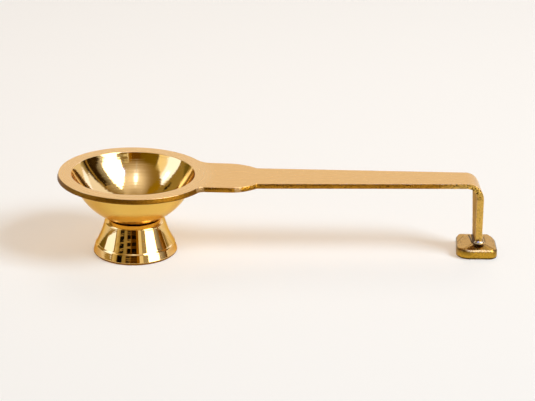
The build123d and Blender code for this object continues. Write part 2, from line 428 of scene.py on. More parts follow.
# Sections of strip, bend and leg: a point on the outer face, one on the inner face, the half width and the skew
def handleSections(startX):
    c = casting
    inside = legReach - c["legThickness"]
    along = Vector((1, -stripFall)).normalized()
    under = Vector((along.y, -along.x))
    turn = math.atan2(1, stripFall)
    outer, inner = Vector((legReach, plateTop(legReach))), Vector((inside, plateTop(inside) - c["plateThickness"]))
    bendStart = legReach - c["bendOuterRadius"] * math.tan(turn / 2)
    taper = (c["stripStartWidth"] - c["stripEndWidth"]) / 2 / (legReach - c["stripStart"])
    sections = []
    stripSteps, bendSteps, legSteps = 260, 60, 50
    for i in range(1, stripSteps + 1):
        x = startX + (bendStart - startX) * i / stripSteps
        top = Vector((x, plateTop(x)))
        half = c["stripEndWidth"] / 2 + taper * (legReach - x)
        sections.append((top, top - Vector((0, c["plateThickness"])), half, 0, "strip"))
    for i in range(1, bendSteps + 1):
        way = Matrix.Rotation(-turn * i / bendSteps, 2) @ -under
        pair = []
        for corner, radius in ((outer, c["bendOuterRadius"]), (inner, c["bendInnerRadius"])):
            centre = corner - along * radius * math.tan(turn / 2) + under * radius
            pair.append(centre + way * radius)
        half = c["stripEndWidth"] / 2 + taper * (legReach - pair[0].x)
        t = i / bendSteps
        sections.append((pair[0], pair[1], half, c["bendSkew"][0] * t * t * (3 - 2 * t), "bend"))
    top, bottom, half = sections[-1][:3]
    atTop, atFoot = c["bendSkew"]
    for i in range(1, legSteps + 1):
        t = i / legSteps
        foot = [Vector((p.x, p.y + (padTop - p.y) * t)) for p in (top, bottom)]
        width = half + (c["legFootWidth"] / 2 - half) * t
        sections.append((foot[0], foot[1], width, atTop + (atFoot - atTop) * t, "leg"))
    return sections


# Section of the plate's edge as inset and depth: a crisp top edge, a leaning facet, an upright one, a soft lower edge
def edgeSection(inset, depth):
    thick, soft = casting["plateThickness"], casting["edgeRounding"]
    start, knee, foot = Vector((inset, soft)), Vector((0.03, depth)), Vector((0, thick - 2 * soft))
    section = [Vector((1.2, 0))] + roundOff((inset + soft, 0), (inset + 0.03, 0), start, 3)
    section += [start.lerp(knee, t) for t in (0.2, 0.4, 0.6, 0.8, 0.92)]
    section += [knee.lerp(foot, t) for t in (0.1, 0.3, 0.6, 1)]
    return section + roundOff(foot, (0, thick), (2 * soft, thick), 3)[1:] + [Vector((0.9, thick))]


def edgesAlong(bm, row):
    pairs = zip(row, row[1:] + row[:1])
    return [bm.edges.get(pair) or bm.edges.new(pair) for pair in pairs]


# The plate's edge all round, and both faces of strip, bend and leg. Gives the rim's part of the top and bottom rows
def addEdge(bm):
    c = casting
    front, back = (plateOutline(radius) for radius in c["notchRadii"])
    sections = handleSections(back[-1][0].x)
    profiles = {part: edgeSection(*facet) for part, facet in c["edgeFacet"].items()}
    rowCount = len(profiles["rim"])
    dirtAndShade = bm.verts.layers.float.new("dirtAndShade")
    topRows = 4                     # the flat and its rounded edge keep the belt's finish
    lastDented = rowCount - 3

    def nick(spot, row):
        return max(0, noise.noise(spot / c["nickMm"]) + 0.1) if topRows <= row <= lastDented else 0

    # one row of the edge along one side, as places and dents, with y counted outwards from the middle plane
    def sideRow(outline, row, way):
        points = []
        for point, outward, part in outline:
            inset, depth = profiles[part][row]
            p = point - outward * inset
            spot = Vector((p.x, way * p.y, plateTop(p.x) - depth))
            dent = nick(spot, row)
            out = Vector((outward.x, way * outward.y, 0))
            points.append((spot - out * dent * c["nicks"][part], dent, part))
        for top, bottom, width, skew, part in sections:
            inset, depth = profiles[part][row]
            p = top.lerp(bottom, depth / c["plateThickness"])
            y = way * (width - inset)
            spot = Vector((p.x - skew * (width + y), y, p.y))
            dent = nick(spot, row)
            points.append((spot - Vector((0, way * dent * c["nicks"][part], 0)), dent, part))
        return points

    edgeRows = []
    for row in range(rowCount):
        verts = []
        columns = list(reversed(sideRow(front, row, -1)[1:])) + sideRow(back, row, 1)
        for spot, dent, part in columns:
            vert = bm.verts.new(spot)
            # the leg's foot: flux stain, and painted shade where it meets the pad
            fluxAndShade = max(0, 1 - (spot.z - padTop) / c["fluxAndShadeHeight"]) if part == "leg" else 0
            # dents: dirt and painted shade; notch and ogee: painted shade; leg's foot: flux stain and painted shade
            vert[dirtAndShade] = min(1, c["darkening"][part] + dent * c["dirtAndShade"][part] + fluxAndShade) if row >= topRows else 0
            verts.append(vert)
        edgeRows.append(verts)
    slots = [castingSlot[c["edgeFinish"].get(part, "edge")] for _, _, part in columns]
    skin(bm, edgeRows[:topRows + 1], False, castingSlot["top"])
    skin(bm, edgeRows[topRows:], False, slots)
    flatCount = len(back)
    middle = flatCount + len(sections) - 1
    for row, finish in ((edgeRows[0], "top"), (edgeRows[-1], "cast")):
        for i in range(flatCount - 1, middle):
            quad = (row[middle - i], row[middle - i - 1], row[middle + i + 1], row[middle + i])
            bm.faces.new(quad).material_index = castingSlot[finish]
    foot = [row[0] for row in edgeRows] + [row[-1] for row in reversed(edgeRows)]
    bm.faces.new(foot).material_index = castingSlot["edge"]
    rim = slice(middle - flatCount + 1, middle + flatCount)
    return edgeRows[0][rim], edgeRows[-1][rim]


# Inside of the bowl: an ellipse whose wall leans as given at the mouth. Gives its row on the flat top
def addBowlInside(bm):
    c = casting
    mouth = c["mouthRadius"]
    lean = math.tan(math.radians(c["mouthLean"])) * mouth
    above = lean * innerDepth ** 2 / (mouth ** 2 - 2 * lean * innerDepth)
    semiHeight = above + innerDepth
    semiWidth = semiHeight * math.sqrt(lean / above)
    ellipseMiddle = plateHeight + above

    def insideHeight(radius):
        return ellipseMiddle - semiHeight * math.sqrt(1 - (radius / semiWidth) ** 2)

    # the mouth's radius, found in a few rounds because the flat top slopes
    def mouthAt(angle):
        radius = mouth
        for _ in range(6):
            height = plateTop(radius * math.cos(angle))
            radius = semiWidth * math.sqrt(1 - ((height - ellipseMiddle) / semiHeight) ** 2)
        return radius

    def onPlate(angle):
        radius = mouthAt(angle) + c["mouthBorder"]
        return radius, plateTop(radius * math.cos(angle))

    def mouthEdge(t):
        def point(angle):
            radius = mouthAt(angle)
            size = c["mouthEdge"]
            outerPoint = Vector((radius + size, plateTop((radius + size) * math.cos(angle))))
            corner = Vector((radius, plateTop(radius * math.cos(angle))))
            innerPoint = Vector((radius - size / 2, insideHeight(radius - size / 2)))
            return outerPoint * (1 - t) ** 2 + corner * 2 * t * (1 - t) + innerPoint * t * t
        return point

    def insideRow(share):
        def point(angle):
            radius = (mouthAt(angle) - c["mouthEdge"] / 2) * share
            return radius, insideHeight(radius)
        return point

    n, edgeSteps, insideSteps = c["segments"], 4, 48
    mouthRows = [turnedRow(bm, n, onPlate)]
    mouthRows += [turnedRow(bm, n, mouthEdge(i / edgeSteps)) for i in range(edgeSteps + 1)]
    skin(bm, mouthRows, True, castingSlot["top"])
    bowlRows = [mouthRows[-1]]
    bowlRows += [turnedRow(bm, n, insideRow(1 - i / insideSteps)) for i in range(1, insideSteps)]
    skin(bm, bowlRows, True, castingSlot["inside"])
    closeRow(bm, bowlRows[-1], (0, 0, insideHeight(0)), castingSlot["inside"])
    return mouthRows[0]


# Outside of the bowl, its seat and its stud. Gives its row on the flat underside
def addBowlOutside(bm):
    c = casting
    thick, n = c["plateThickness"], c["segments"]
    tangent = Vector((bowlBottom * math.cos(flank), bottomMiddle - bowlBottom * math.sin(flank)))

    def underPlate(angle, beyond=0):
        rise = plateHeight - thick - tangent.y
        radius = (tangent.x + rise * math.tan(flank)) / (1 + fall * math.cos(angle) * math.tan(flank)) + beyond
        return Vector((radius, plateTop(radius * math.cos(angle)) - thick))

    def underEdge(t):
        def point(angle):
            corner = underPlate(angle)
            plate = underPlate(angle, c["underFillet"])
            wall = corner + (tangent - corner).normalized() * c["underFillet"]
            return plate * (1 - t) ** 2 + corner * 2 * t * (1 - t) + wall * t * t
        return point

    def flankRow(t):
        return lambda angle: underEdge(1)(angle).lerp(tangent, t)

    edgeSteps, flankSteps, arcSteps, threadSteps = 5, 6, 26, 16
    rows = [turnedRow(bm, n, lambda angle: underPlate(angle, 2 * c["underFillet"]))]
    rows += [turnedRow(bm, n, underEdge(i / edgeSteps)) for i in range(edgeSteps + 1)]
    rows += [turnedRow(bm, n, flankRow(i / flankSteps)) for i in range(1, flankSteps + 1)]
    seat = math.asin(c["bossRadius"] / bowlBottom)
    for i in range(1, arcSteps + 1):
        tilt = (math.pi / 2 - flank) + (seat - math.pi / 2 + flank) * i / arcSteps
        rows += turnedRows(bm, n, [(bowlBottom * math.sin(tilt), bottomMiddle - bowlBottom * math.cos(tilt))])
    boss, stud, root = c["bossRadius"], c["studRadius"], c["studRoot"]
    threadTop = nutUnder + c["threadInNut"]
    rows += turnedRows(bm, n, [
        (boss, bossFace + c["bossEdge"]), (boss - c["bossEdge"], bossFace),
        (stud + root, bossFace), (stud, bossFace - root), (stud, threadTop + c["threadRunOut"]),
    ])

    # thread on the stud's free end, as a helix of V grooves
    def threadRow(height):
        def point(angle):
            phase = (height / c["threadPitch"] + angle / (2 * math.pi)) % 1
            return stud - c["threadDepth"] * (1 - abs(2 * phase - 1)), height
        return point

    tipAcross, tipUp = c["studTip"]
    threadFoot = studEnd + tipUp
    for i in range(threadSteps + 1):
        rows.append(turnedRow(bm, n, threadRow(threadTop + (threadFoot - threadTop) * i / threadSteps)))
    rows += turnedRows(bm, n, [(stud - tipAcross, studEnd), (0.3, studEnd)])
    skin(bm, rows, True, castingSlot["outside"])
    closeRow(bm, rows[-1], (0, 0, studEnd), castingSlot["outside"])
    return rows[0]


def makeCasting():
    bm = bmesh.new()
    rimTop, rimUnder = addEdge(bm)
    mouthRow, underRow = addBowlInside(bm), addBowlOutside(bm)
    # flat faces round the bowl, above and below
    for rim, bowlRow, finish in ((rimTop, mouthRow, "top"), (rimUnder, underRow, "cast")):
        border = edgesAlong(bm, rim) + edgesAlong(bm, bowlRow)
        filled = bmesh.ops.triangle_fill(bm, use_beauty=True, use_dissolve=False, edges=border)
        for item in filled["geom"]:
            if isinstance(item, bmesh.types.BMFace):
                item.material_index = castingSlot[finish]
    makePiece("cast_bowl_and_handle", bm, casting["finishes"], ["bowl_and_handle"])


makeCasting()


# The pedestal: hollow, turned, with a sloping collar, two fine lines, a long flare, a ledge and a band at the foot
pedestal = {
    "recessClearance": 0.15,
    "webThickness": 2.2,
    "holeRadius": 3.2,
    "collarRadius": 12.2,
    "collarGap": 0.7,
    "collarEdge": 13.9,
    "collarDrop": 1.4,
    "flareTopLean": 14.5,           # degrees from upright
    "flareFootLean": 27.0,
    "lineHeights": (14.45, 13.8),
    "lineWidth": 0.35,
    "lineDepth": 0.012,
    "ledgeHeight": 5.3,
    "ledgeRadius": 17.75,
    "bandHeight": 4.15,
    "bandRadius": 18.45,
    "footUpright": 1.0,
    "footLand": 2.0,
    "wall": 1.8,
    "segments": 240,
}


def makePedestal():
    p = pedestal
    collarTop = pedestalHigh.z / mm
    edge = collarTop - p["collarDrop"]
    webUnder = bossFace - p["webThickness"]
    recess = casting["bossRadius"] + p["recessClearance"]
    flareTop = Vector((p["collarEdge"] + 0.12, edge - 0.35))
    flareFoot = Vector((p["ledgeRadius"], p["ledgeHeight"]))
    drop = flareTop.y - flareFoot.y
    first, last = math.tan(math.radians(p["flareTopLean"])), math.tan(math.radians(p["flareFootLean"]))
    widening = (flareFoot.x - flareTop.x) / ((first + last) / 2 * drop)

    def flare(h):
        return flareTop.x + widening * (first * h + (last - first) * h * h / (2 * drop))

    section = [(p["holeRadius"], webUnder), (p["holeRadius"], bossFace), (recess, bossFace)]
    section += [(recess, bowlOutside(recess) - p["collarGap"])]
    section += roundOff((p["collarRadius"] - 0.4, bowlOutside(p["collarRadius"] - 0.4) - p["collarGap"]),
                        (p["collarRadius"], collarTop), (p["collarRadius"] + 0.3, collarTop - 0.25), 4)
    section += roundOff((p["collarEdge"] - 0.4, edge + 0.33), (p["collarEdge"] + 0.02, edge), flareTop, 5)
    steps = 60
    for i in range(1, steps + 1):
        h = drop * i / steps
        height = flareTop.y - h
        shares = [max(0, 1 - (2 * (height - line) / p["lineWidth"]) ** 2) for line in p["lineHeights"]]
        section.append((flare(h) - p["lineDepth"] * sum(shares), height))
    # a small cove under the flare, a sloping ledge with a rounded edge, then the band
    ledge = [flareFoot + Vector(step) for step in ((0.14, -0.3), (0.55, -0.75))]
    band, foot = Vector((p["bandRadius"], p["bandHeight"])), Vector((footRadius, p["footUpright"]))
    section += roundOff(flareFoot, flareFoot + Vector((0.04, -0.2)), ledge[0], 4)[1:]
    section += roundOff(ledge[1], band + Vector((-0.04, 0.2)), band.lerp(foot, 0.1), 5)
    section += [band.lerp(foot, t) for t in (0.3, 0.5, 0.7, 0.9)]
    paintedShadeFrom = len(section)                 # painted shade: the shaded floor that the foot's edge reflects
    section += roundOff(band.lerp(foot, 0.97), (footRadius, 0.3), (footRadius - 0.7, 0), 6)
    paintedShadeTo = len(section)
    section += [(footRadius - p["footLand"] + 0.2, 0), (footRadius - p["footLand"], 0.2)]
    ceiling = p["collarEdge"] + first * (edge - webUnder) - p["wall"]
    section += roundOff((ceiling + 0.6, webUnder - 1.5), (ceiling, webUnder), (ceiling - 1.5, webUnder), 5)
    bm = bmesh.new()
    rows = turnedRows(bm, p["segments"], section)
    skin(bm, rows[:paintedShadeFrom + 1], True)
    skin(bm, rows[paintedShadeFrom:paintedShadeTo + 1], True, 1)
    skin(bm, rows[paintedShadeTo:] + rows[:1], True)
    makePiece("turned_pedestal", bm, ["pedestal", "rimEdge"], ["pedestal"])


makePedestal()


# Washer and nut inside the pedestal
fasteners = {
    "washerRadius": 6.0,
    "washerHole": 3.2,
    "washerEdge": 0.2,
    "nutFlats": 10.0,
    "nutHole": 3.05,
    "holeBevel": 0.4,
    "nutBevel": 0.5,
}


def makeWasher():
    f = fasteners
    outer, hole, soft, low = f["washerRadius"], f["washerHole"], f["washerEdge"], washerLow.z / mm
    section = [
        (hole, low + soft), (hole + soft, low), (outer - soft, low), (outer, low + soft),
        (outer, washerTop - soft), (outer - soft, washerTop), (hole + soft, washerTop), (hole, washerTop - soft),
    ]
    bm = bmesh.new()
    rows = turnedRows(bm, 96, section)
    skin(bm, rows + rows[:1], True)
    makePiece("turned_washer", bm, ["fastener"], ["pedestal_washer"])


def makeNut():
    f = fasteners
    apothem = f["nutFlats"] / 2

    # corners of the hexagon are bevelled towards both faces, as a lathe leaves them
    def sideAt(angle):
        return apothem / math.cos((angle + math.pi / 6) % (math.pi / 3) - math.pi / 6)

    def face(height):
        return lambda angle: (apothem - 0.1, height)

    def shoulder(height, way):
        return lambda angle: (sideAt(angle), height + way * (0.05 + (sideAt(angle) - apothem) * f["nutBevel"]))

    bm = bmesh.new()
    n, hole, bevel = 144, f["nutHole"], f["holeBevel"]
    rows = [turnedRow(bm, n, point) for point in (
        lambda angle: (hole, nutUnder + bevel), lambda angle: (hole + bevel, nutUnder), face(nutUnder),
        shoulder(nutUnder, 1), shoulder(nutTop, -1),
        face(nutTop), lambda angle: (hole + bevel, nutTop), lambda angle: (hole, nutTop - bevel),
    )]
    skin(bm, rows + rows[:1], True)
    makePiece("turned_nut", bm, ["fastener"], ["pedestal_nut"])


makeWasher()
makeNut()


# The rear pad: a small hand-filed block with a low hipped top, creased where the file changed direction
pad = {
    "length": 19.1,                         # along the front
    "backInset": 1.4,                       # the side towards the bowl runs in at the back
    "sideHeight": 4.4,
    "cornerRadii": (6.0, 4.5, 8.0, 3.5),    # clockwise from above, from the front corner towards the bowl
    "topChamfer": 0.52,
    "lowerEdge": 1.2,
    "land": (-1.8, 3.7, -6.8, 6.4),         # flat round the leg: left, right, front and back from the pad's middle
    "creases": (                            # from, to, depth and half width
        ((-2.5, 6.0), (-1.4, -4.2), 0.32, 0.4),
        ((-8.2, -0.1), (-5.0, 6.2), 0.2, 0.24),
        ((4.2, 3.5), (4.3, -2.6), 0.25, 0.38),
        ((3.9, -5.6), (8.2, -9.4), 0.28, 0.26),
        ((-1.9, -5.0), (-6.0, -9.6), 0.12, 0.3),
    ),
    "stain": ((-2.2, 4.4), (-6.0, 6.6)),    # browned by flux in front of the bead: sides at the bead and in front
    "unshadedEdge": (-1.0, 5.6),              # painted shade on the front edge beyond these, to shorten its highlight
    "shadeDarkness": 0.62,                       # darkness of that painted shade,
    "shadeFade": 2.5,                        # reached over this length
    "unevenness": 0.08,
    "unevenMm": 3.5,
    "segments": 320,
    "rings": 72,
}


def makePad():
    p = pad
    halfX, halfY = p["length"] / 2, (padHigh.y - padLow.y) / 2 / mm
    middle = Vector(((padHigh.x - bowlX) / mm - halfX, (padLow.y + padHigh.y) / 2 / mm))
    rise = padTop - p["sideHeight"]
    landLeft, landRight, landFront, landBack = p["land"]

    # outline, clockwise from above, walked in even steps
    spots = ((-halfX, -halfY), (p["backInset"] - halfX, halfY), (halfX, halfY), (halfX, -halfY))
    corners = [Vector(spot) for spot in spots]
    walk = []
    for i, radius in enumerate(p["cornerRadii"]):
        walk += roundCorner(corners[i - 1], corners[i], corners[(i + 1) % 4], radius, 24)
    lengths = [(b[0] - a[0]).length for a, b in zip(walk, walk[1:] + walk[:1])]
    outline = []
    for i in range(p["segments"]):
        left, k = sum(lengths) * i / p["segments"], 0
        while left > lengths[k]:
            left -= lengths[k]
            k += 1
        (a, outA), (b, outB) = walk[k], walk[(k + 1) % len(walk)]
        t = left / lengths[k] if lengths[k] else 0
        outline.append((a.lerp(b, t), outA.lerp(outB, t).normalized()))

    # depth of the creases, and how dark the painted shade in them is
    def creaseAt(spot):
        dip, dark = 0, 0
        for start, end, depth, width in p["creases"]:
            start, end = Vector(start), Vector(end)
            way = end - start
            t = min(1, max(0, (spot - start).dot(way) / way.length_squared))
            near = math.exp(-((spot - start - way * t).length / width) ** 2)
            dip, dark = max(dip, depth * near), max(dark, near * min(1, 3 * depth))
        return dip, dark

    def stainAt(spot):
        t = (landFront - spot.y) / (landFront + halfY)
        (left, right), (frontLeft, frontRight) = p["stain"]
        left, right = left + (frontLeft - left) * t, right + (frontRight - right) * t
        inside = min(1, max(0, spot.x - left)) * min(1, max(0, right - spot.x)) * min(1, max(0, 1 + 2 * t))
        return inside * max(0.1, 0.5 - 0.3 * max(0, t))

    # painted shade in the creases, and the flux stain in front of the bead
    def topShadeAndStain(spot):
        return max(creaseAt(spot)[1], stainAt(spot))

    # painted shade on the top's edge beyond the given span, which shortens the lamp card's highlight
    def paintedEdgeShade(spot):
        first, last = p["unshadedEdge"]
        beyond = max(first - spot.x, spot.x - last, 0)
        return p["shadeDarkness"] * min(1, beyond / p["shadeFade"])

    # height of the top: a hip roof up to the land round the leg, with creases and slight dents
    def topHeight(spot):
        low = min(
            1, (spot.x + halfX) / (landLeft + halfX), (halfX - spot.x) / (halfX - landRight),
            (spot.y + halfY) / (landFront + halfY), (halfY - spot.y) / (halfY - landBack),
        )
        low = max(0, low)
        bumps = noise.noise(Vector((spot.x, spot.y, 3)) / p["unevenMm"]) * p["unevenness"] * (1 - low)
        return p["sideHeight"] + rise * low - creaseAt(spot)[0] + bumps

    bm = bmesh.new()
    dirtAndShade = bm.verts.layers.float.new("dirtAndShade")

    def row(shrink, inset, height, darkening):
        verts = []
        for spot, outward in outline:
            inner = (spot - outward * inset) * shrink
            vert = bm.verts.new((middle.x + inner.x, middle.y + inner.y, height(inner)))
            vert[dirtAndShade] = darkening(inner)
            verts.append(vert)
        return verts

    steps, cut = p["rings"], p["topChamfer"]
    side = p["sideHeight"]
    rows = [row(i / steps, cut, topHeight, topShadeAndStain) for i in range(1, steps)]
    edge = roundOff((cut, 0.02), (cut - 0.06, 0.03), (cut - 0.12, 0.1), 2)
    edge += roundOff((0.1, cut - 0.1), (0, cut), (0, cut + 0.15), 3)
    for inset, drop in edge:
        rows.append(row(1, inset, lambda spot, drop=drop: side - drop, paintedEdgeShade))
    # painted shade: the lower edge darkens towards the floor, for the contact shadow under the pad
    for inset, height in roundOff((0, p["lowerEdge"]), (0, 0), (p["lowerEdge"], 0), 6):
        darkShare = min(1, 2.6 * (1 - height / p["lowerEdge"]))
        rows.append(row(1, inset, lambda spot, height=height: height, lambda spot, darkShare=darkShare: darkShare))
    upright = len(edge) + steps - 2         # first row of the sides
    skin(bm, rows[:upright + 1], True)
    skin(bm, rows[upright:], True, 1)
    closeRow(bm, rows[0], (middle.x, middle.y, topHeight(Vector((0, 0)))))
    bm.faces.new(rows[-1]).material_index = 1
    makePiece("filed_rear_pad", bm, ["pad", "padSide"], ["rear_foot_pad"])


makePad()


# Braze: a fillet round the leg's foot, browned by flux and painted shade, and a bright bead that ran out in front
braze = {
    "filletHeight": 1.3,
    "filletLip": 0.9,
    "filletFront": 0.25,                # share of the height in front
    "cornerRadius": 0.35,               # of the leg's foot, which the fillet follows
    "tuck": 0.1,                        # how far it reaches into leg and pad
    "beadHalfLength": 2.4,
    "beadRadius": (1.2, 1.0),           # towards the front and up
    "beadPoint": 0.62,                  # 0.5 is an ellipse, more makes the ends pointed
    "beadForward": 0.4,
    "beadRise": 1.5,
}


def makeBraze():
    b = braze
    halfX, halfY = casting["legThickness"] / 2, casting["legFootWidth"] / 2
    legMiddle = legReach - halfX
    corners = [Vector(spot) for spot in ((-halfX, -halfY), (-halfX, halfY), (halfX, halfY), (halfX, -halfY))]

    # a corner of the leg's foot, moved outwards on both sides
    def moved(i, offset):
        corner = corners[i % 4]
        return corner + Vector((math.copysign(1, corner.x), math.copysign(1, corner.y))) * offset

    bm = bmesh.new()
    tuck = b["tuck"]
    section = [(-tuck, b["filletHeight"])]
    section += roundOff((0.05, b["filletHeight"]), (0.12, 0.15), (b["filletLip"], 0), 6)
    section += [(b["filletLip"], -tuck), (-tuck, -tuck)]
    rows = []
    for offset, height in section:
        ring = []
        for i in range(4):
            before, corner, after = (moved(k, offset) for k in (i - 1, i, i + 1))
            for point, _ in roundCorner(before, corner, after, b["cornerRadius"] + offset, 8):
                low = point.y < 2 * tuck - halfY and height > 0         # in front, under the bead
                up = height * b["filletFront"] if low else height
                ring.append(bm.verts.new((legMiddle + point.x, point.y, padTop + up)))
        rows.append(ring)
    skin(bm, rows + rows[:1], True, 1)

    centre = Vector((legMiddle, -halfY - b["beadForward"], padTop + b["beadRise"]))
    steps, around = 28, 32
    beadRows = []
    for i in range(1, steps):
        share = math.cos(math.pi * i / steps)
        y, z = (radius * (1 - share ** 2) ** b["beadPoint"] for radius in b["beadRadius"])
        ring = []
        for j in range(around):
            angle = 2 * math.pi * j / around
            spot = Vector((share * b["beadHalfLength"], y * math.cos(angle), z * math.sin(angle)))
            ring.append(bm.verts.new(centre + spot))
        beadRows.append(ring)
    skin(bm, beadRows, True, 0)
    closeRow(bm, beadRows[0], centre + Vector((b["beadHalfLength"], 0, 0)))
    closeRow(bm, beadRows[-1], centre - Vector((b["beadHalfLength"], 0, 0)))
    makePiece("run_braze", bm, ["braze", "fluxAndShade"], ["foot_braze"])


makeBraze()


# Fixed studio: a pale floor, a little light from a pale sky, a soft window on the right and a warm fill from above
studio = {
    "floor": "#F7F6F5",
    "sky": "#F5EADD",
    "skyLight": 0.16,               # what the sky gives to matt surfaces
    "window": "#D1EBFF",            # daylight, cooler than the fill
    "windowLight": 14.2,
    "windowPlace": (64, 41, 4.0),   # azimuth from the camera's side with right positive, elevation, metres
    "windowSize": (1.6, 1.4),
    "fill": "#FFECD8",
    "fillLight": 18.4,
    "fillPlace": (0.05, 0.12, 1.6),
    "fillSize": 0.5,
    "backLight": 1.3,               # weak, from behind, for the soft shadow in front
    "backPlace": (172, 50, 3.0),
    "backSize": (1.6, 1.6),
}

# What the polished brass mirrors, seen from the bowl: azimuths as above, the lowest and highest elevation at the first
# and at the last azimuth, the colour at each, brightness and distance in metres
surroundings = (
    ((-132, -98), (0, 54), (0, 54), "#A08C50", "#988248", 1.0, 2.1),            # left wall
    ((-98, -62), (0, 34), (0, 34), "#A8935A", "#A8935A", 1.0, 2.1),
    ((-112, -106), (32, 41), (33, 43), "#2A2008", "#2A2008", 1.0, 2.0),
    ((-126, -103), (0, 14), (0, 14), "#6E6028", "#7A6C34", 1.0, 2.05),
    ((-62, -47), (0, 42), (0, 42), "#E8DCB4", "#A8944E", 1.0, 2.1),             # wall behind the camera
    ((-49, -34), (0, 42), (0, 42), "#3A2C08", "#3A2C08", 1.0, 2.08),
    ((-34, -24), (0, 42), (0, 42), "#A09060", "#A09060", 1.0, 2.1),
    ((-24, 8), (0, 42), (0, 42), "#6A4608", "#6A4608", 1.0, 2.1),
    ((8, 15), (0, 42), (0, 42), "#96680C", "#96680C", 1.0, 2.1),
    ((15, 25), (0, 42), (0, 42), "#F8F2D8", "#F0E8CC", 1.05, 2.1),
    ((25, 40), (0, 42), (0, 42), "#ACA48C", "#B4AE9C", 1.0, 2.1),
    ((-48, -11), (31, 42), (31, 42), "#7E6614", "#725A0C", 1.0, 2.0),
    ((17, 36), (37, 41), (36, 40), "#8A7448", "#8A7448", 1.0, 2.0),
    ((71, 94), (0, 54), (0, 50), "#D8D4D6", "#4E4018", 1.0, 2.1),               # right wall
    ((92, 104), (0, 46), (0, 46), "#3A2A10", "#241804", 1.0, 2.05),
    ((103, 108), (0, 50), (0, 42), "#C8A868", "#8A6C30", 1.0, 2.07),
    ((107, 112), (14, 47), (12, 26), "#1E1404", "#1E1404", 1.0, 2.04),
    ((120, 140), (13, 20), (14, 23), "#C8D0FF", "#C8D0FF", 2.4, 2.0),
    ((95, 108), (0, 17), (0, 17), "#7E5606", "#6C4A06", 1.0, 2.0),
    ((110, 122), (0, 22), (0, 20), "#5A4410", "#D8CCA8", 1.0, 2.1),
    ((76, 92), (20, 27), (19, 29), "#3A2A0C", "#3A2A0C", 1.0, 1.7),
    ((112, 150), (17, 60), (17, 60), "#E8EAFF", "#E4E2FA", 1.3, 2.15),
    ((80, 112), (46, 76), (44, 70), "#C8BCA8", "#86682C", 1.0, 2.15),
    ((-98, -72), (46, 70), (44, 66), "#A07E00", "#947820", 1.0, 2.15),          # cupboard under the ceiling
    ((39.5, 54), (4, 61), (4, 66), "#FFFFFF", "#FFFFFF", 5.0, 1.8),             # window
    ((54, 72), (4, 26), (4, 26), "#FFFFFF", "#FFFFFF", 5.0, 1.8),
    ((54, 77), (26, 66), (33, 68), "#FFFFFF", "#FFFFFF", 5.0, 1.8),
    ((33.5, 39.5), (38, 54), (37, 61), "#FFFFFF", "#FFFFFF", 5.0, 1.8),
    ((-99, -94), (4, 24), (4, 46), "#C4D4FF", "#C4D4FF", 2.5, 1.8),            # blind on the left
    ((-94, -72), (4, 47), (4, 45), "#C4D4FF", "#C4D4FF", 2.5, 1.8),
    ((-90, -80), (31, 44), (35, 43), "#C0D0FF", "#C0D0FF", 4.5, 1.78),
    ((-72, -66), (4, 29), (4, 28), "#C4D4FF", "#C4D4FF", 2.5, 1.8),
    ((-72, -50), (26, 45), (30, 37), "#FFF6E4", "#FFF0C8", 1.12, 1.85),
    ((-4, -2), (43, 56), (43, 56), "#D4D8EC", "#D4D8EC", 1.0, 1.97),             # cord of the hanging lamp
)
shelves = {                                                                     # on the wall behind the camera
    "azimuths": ((-60, -34), (-24, -10), (25, 39)),
    "elevations": ((9.7, 10.7), (17, 18.6), (23.6, 24.8)),
    "colour": "#B8A06A",
    "boxAzimuths": ((-46, -35), (-22, -12), (-8, 7)),
    "boxElevations": ((2, 9.4), (10.9, 16.7), (18.9, 23.4), (25.2, 31)),
    "boxColour": "#0A0602",
    "distance": 1.95,
}
ceiling = {                         # dim, and lit by a hanging lamp
    "azimuths": (-112, 112),
    "elevations": (42, 90),
    "lamp": (-3, 63),
    "reach": (42, 80, 15, 19),      # how far its light reaches: left, right, down and up, in degrees
    "dim": "#92783A",
    "lit": "#F6EEF0",
    "litLight": 1.35,
    "lampSize": (6.5, 6.5),         # across and up, in degrees
    "lampColour": "#A8C0FF",
    "lampLight": 5.5,
    "distance": 2.2,
}
padLamp = ((-26, 18), (57, 74), (57, 74), "#8098FF", "#8098FF", 13, 0.3)        # a card over the pad, seen from there
cardHeight = 0.02                   # metres over the floor, of the point that the cards stand round


def direction(azimuth, elevation):
    a, e = math.radians(azimuth), math.radians(elevation)
    return Vector((math.sin(a) * math.cos(e), -math.cos(a) * math.cos(e), math.sin(e)))


# A mesh that belongs to the stage
def addToStage(name, mesh, material):
    mesh.materials.append(material)
    item = bpy.data.objects.new(name, mesh)
    scene.collection.objects.link(item)
    return item


def makeFloor():
    size = 4                        # metres from the middle to each side
    mesh = bpy.data.meshes.new("floor")
    mesh.from_pydata([(-size, -size, 0), (size, -size, 0), (size, size, 0), (-size, size, 0)], [], [(0, 1, 2, 3)])
    material, tree = newMaterial("palePaper")
    shader = addNode(tree, "ShaderNodeBsdfDiffuse", {"Color": linear(studio["floor"])})
    addNode(tree, "ShaderNodeOutputMaterial", {"Surface": shader.outputs[0]})
    addToStage("floor", mesh, material)


